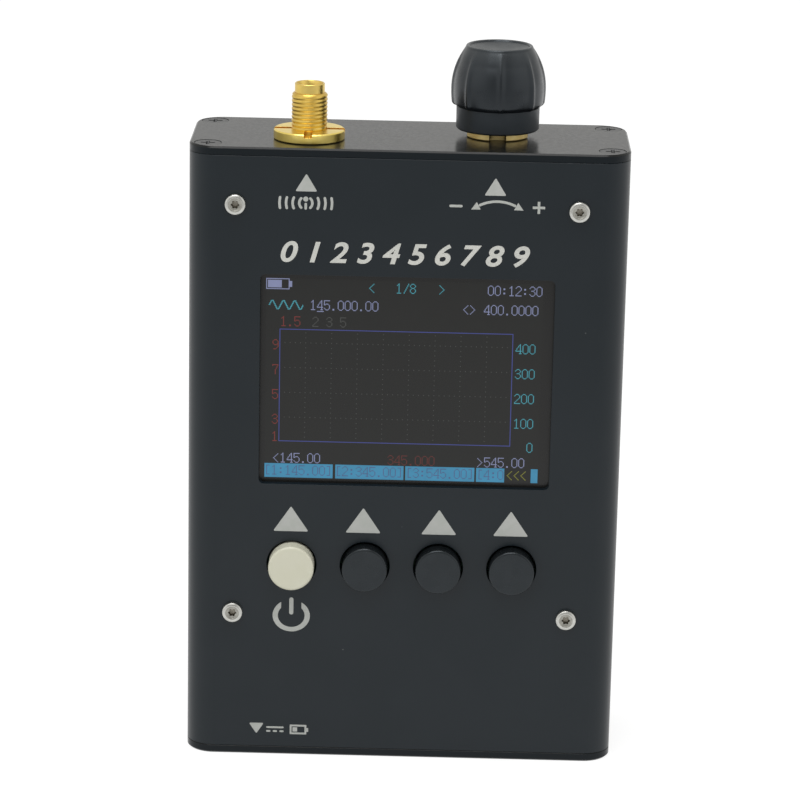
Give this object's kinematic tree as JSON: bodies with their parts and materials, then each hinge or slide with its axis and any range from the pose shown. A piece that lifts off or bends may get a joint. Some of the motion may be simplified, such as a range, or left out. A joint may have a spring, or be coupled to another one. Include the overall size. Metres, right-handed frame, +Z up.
{
  "type": "antenna analyzer",
  "caption": "Handheld antenna analyzer: extruded metal case, colour display, press buttons, fluted select knob and threaded coaxial aerial jack.",
  "frame": {"origin": "centre of the bottom face, on which the case stands", "axes": "+Z up to the jack and knob, front with display and buttons towards -Y, +X to the right seen from the front"},
  "size_m": [0.0776, 0.0298, 0.1294],
  "materials": {
    "anodised_case": "black satin anodised",
    "black_screw": "black oxide, satin",
    "steel_screw": "plain stainless, bright",
    "brass_turned": "turned, bright",
    "gold_plate": "gold plated, bright",
    "white_insulator": "white, smooth",
    "board_laminate": "green solder mask",
    "display_glass": "dark polariser over glass",
    "frame_plastic": "white, moulded",
    "foam": "closed-cell foam",
    "flex_film": "amber film",
    "connector_plastic": "black, moulded",
    "switch_plastic": "black, moulded",
    "cast_bushing": "die cast",
    "bright_shaft": "turned",
    "knob_plastic": "black, satin",
    "knob_grip": "black, soft satin",
    "tinned_steel": "tinned sheet",
    "chip_epoxy": "black epoxy",
    "battery_wrap": "grey laminate",
    "cream_cap": "cream, smooth",
    "black_cap": "black, smooth"
  },
  "bodies": {
    "case": {"case_body": "anodised_case", "top_end_plate": "anodised_case", "bottom_end_plate": "anodised_case", "top_plate_screws": "black_screw", "bottom_plate_screws": "black_screw", "front_screws": "steel_screw", "board_screws": "steel_screw", "board_standoffs": "brass_turned", "main_board": "board_laminate", "lcd_panel": "display_glass", "lcd_frame": "frame_plastic", "lcd_foam_pads": "foam", "lcd_flex": "flex_film", "flex_connector": "connector_plastic", "jack_body": "gold_plate", "jack_contact": "gold_plate", "jack_nut": "gold_plate", "jack_insulator": "white_insulator", "encoder_housing": "connector_plastic", "encoder_bushing": "cast_bushing", "encoder_nut": "brass_turned", "shield_can": "tinned_steel", "processor": "chip_epoxy", "battery_socket": "connector_plastic", "battery_pack": "battery_wrap", "battery_pad": "foam", "charge_socket": "tinned_steel", "charge_tongue": "connector_plastic", "power_switch": "switch_plastic", "function_1_switch": "switch_plastic", "function_2_switch": "switch_plastic", "function_3_switch": "switch_plastic"},
    "power_button": {"power_cap": "cream_cap", "power_plunger": "switch_plastic"},
    "function_1_button": {"function_1_cap": "black_cap", "function_1_plunger": "switch_plastic"},
    "function_2_button": {"function_2_cap": "black_cap", "function_2_plunger": "switch_plastic"},
    "function_3_button": {"function_3_cap": "black_cap", "function_3_plunger": "switch_plastic"},
    "encoder_turn": {"encoder_rotor": "connector_plastic"},
    "select_knob": {"knob_core": "knob_plastic", "knob_grip": "knob_grip", "encoder_shaft": "bright_shaft"}
  },
  "joints": [
    {"name": "power_press", "type": "slide", "parent": "case", "child": "power_button", "axis": [0, 1, 0], "range_m": [0, 0.0003], "stiffness_N_per_m": 600, "springref_m": -0.001},
    {"name": "function_1_press", "type": "slide", "parent": "case", "child": "function_1_button", "axis": [0, 1, 0], "range_m": [0, 0.0003], "stiffness_N_per_m": 600, "springref_m": -0.001},
    {"name": "function_2_press", "type": "slide", "parent": "case", "child": "function_2_button", "axis": [0, 1, 0], "range_m": [0, 0.0003], "stiffness_N_per_m": 600, "springref_m": -0.001},
    {"name": "function_3_press", "type": "slide", "parent": "case", "child": "function_3_button", "axis": [0, 1, 0], "range_m": [0, 0.0003], "stiffness_N_per_m": 600, "springref_m": -0.001},
    {"name": "knob_turn", "type": "hinge", "parent": "case", "child": "encoder_turn", "pos_m": [0.01535, 0.0015, 0.1], "axis": [0, 0, 1], "continuous": true},
    {"name": "knob_press", "type": "slide", "parent": "encoder_turn", "child": "select_knob", "axis": [0, 0, -1], "range_m": [0, 0.0005], "stiffness_N_per_m": 1200, "springref_m": -0.0015}
  ]
}
